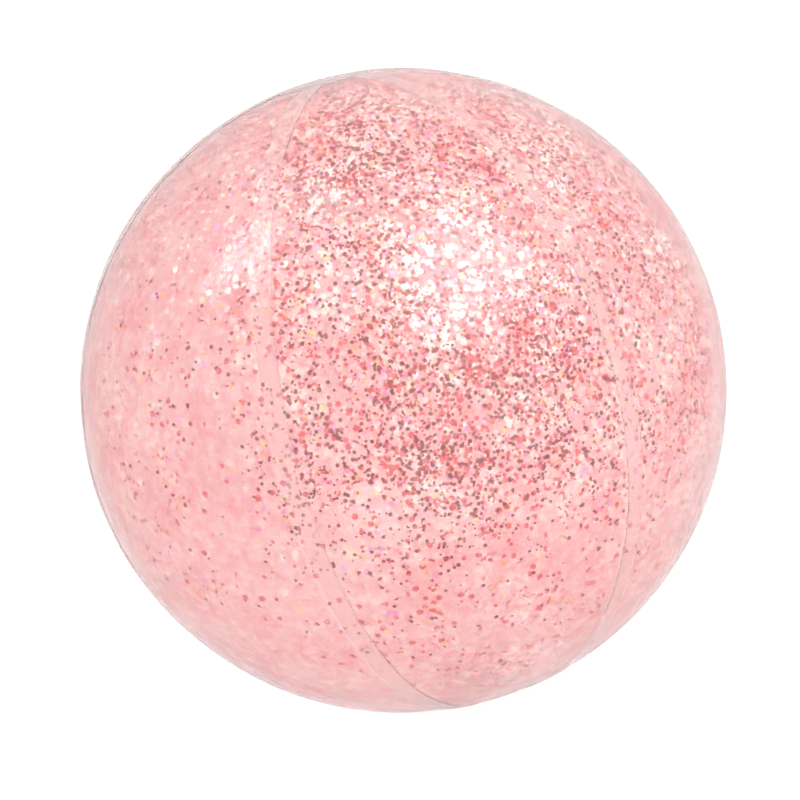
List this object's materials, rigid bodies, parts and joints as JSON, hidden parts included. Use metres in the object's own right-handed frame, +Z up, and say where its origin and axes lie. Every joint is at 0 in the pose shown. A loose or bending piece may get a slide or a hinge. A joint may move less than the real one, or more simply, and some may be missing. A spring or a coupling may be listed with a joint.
{
  "type": "inflatable beach ball",
  "caption": "Inflatable beach ball: welded panels of clear pink film, round pole patches, loose glitter flakes inside, and a push-in valve with tethered plug and check flap.",
  "frame": {"origin": "the middle of the small flat patch under the bottom pole, on the surface that the ball rests on", "axes": "+Z up along the ball's polar axis, through both pole patches; +Y towards the panel that carries the valve; the panel seen from the front faces -Y"},
  "size_m": [0.2604, 0.26, 0.2578],
  "materials": {
    "film": "gloss",
    "valve": "satin",
    "glitter_copper": "gloss",
    "glitter_rose": "gloss",
    "glitter_silver": "gloss",
    "glitter_lilac": "gloss",
    "glitter_gold": "gloss"
  },
  "bodies": {
    "envelope": {"gore_1": "film", "gore_2": "film", "gore_3": "film", "gore_4": "film", "gore_5": "film", "gore_6": "film", "pole_disc_top": "film", "pole_disc_bottom": "film", "valve_flange": "valve", "valve_cone": "valve", "glitter_copper": "glitter_copper", "glitter_rose": "glitter_rose", "glitter_silver": "glitter_silver", "glitter_lilac": "glitter_lilac", "glitter_gold": "glitter_gold"},
    "stem": {"valve_stem": "valve", "plug_tether": "valve", "flap_web": "valve"},
    "plug": {"valve_plug": "valve"},
    "flap": {"check_flap": "valve"}
  },
  "joints": [
    {"name": "stem_pull", "type": "slide", "parent": "envelope", "child": "stem", "axis": [0, 0.788, 0.6157], "range_m": [0, 0.016], "deforming": ["valve_cone"]},
    {"name": "plug_open", "type": "hinge", "parent": "stem", "child": "plug", "pos_m": [0, 0.10907, 0.20307], "axis": [-1, 0, 0], "range_deg": [0, 150], "deforming": ["plug_tether"]},
    {"name": "flap_open", "type": "hinge", "parent": "stem", "child": "flap", "pos_m": [0, 0.09436, 0.19542], "axis": [1, 0, 0], "range_deg": [0, 70], "stiffness_Nm_per_rad": 0.00009, "springref_deg": -5.73, "deforming": ["flap_web"]}
  ]
}
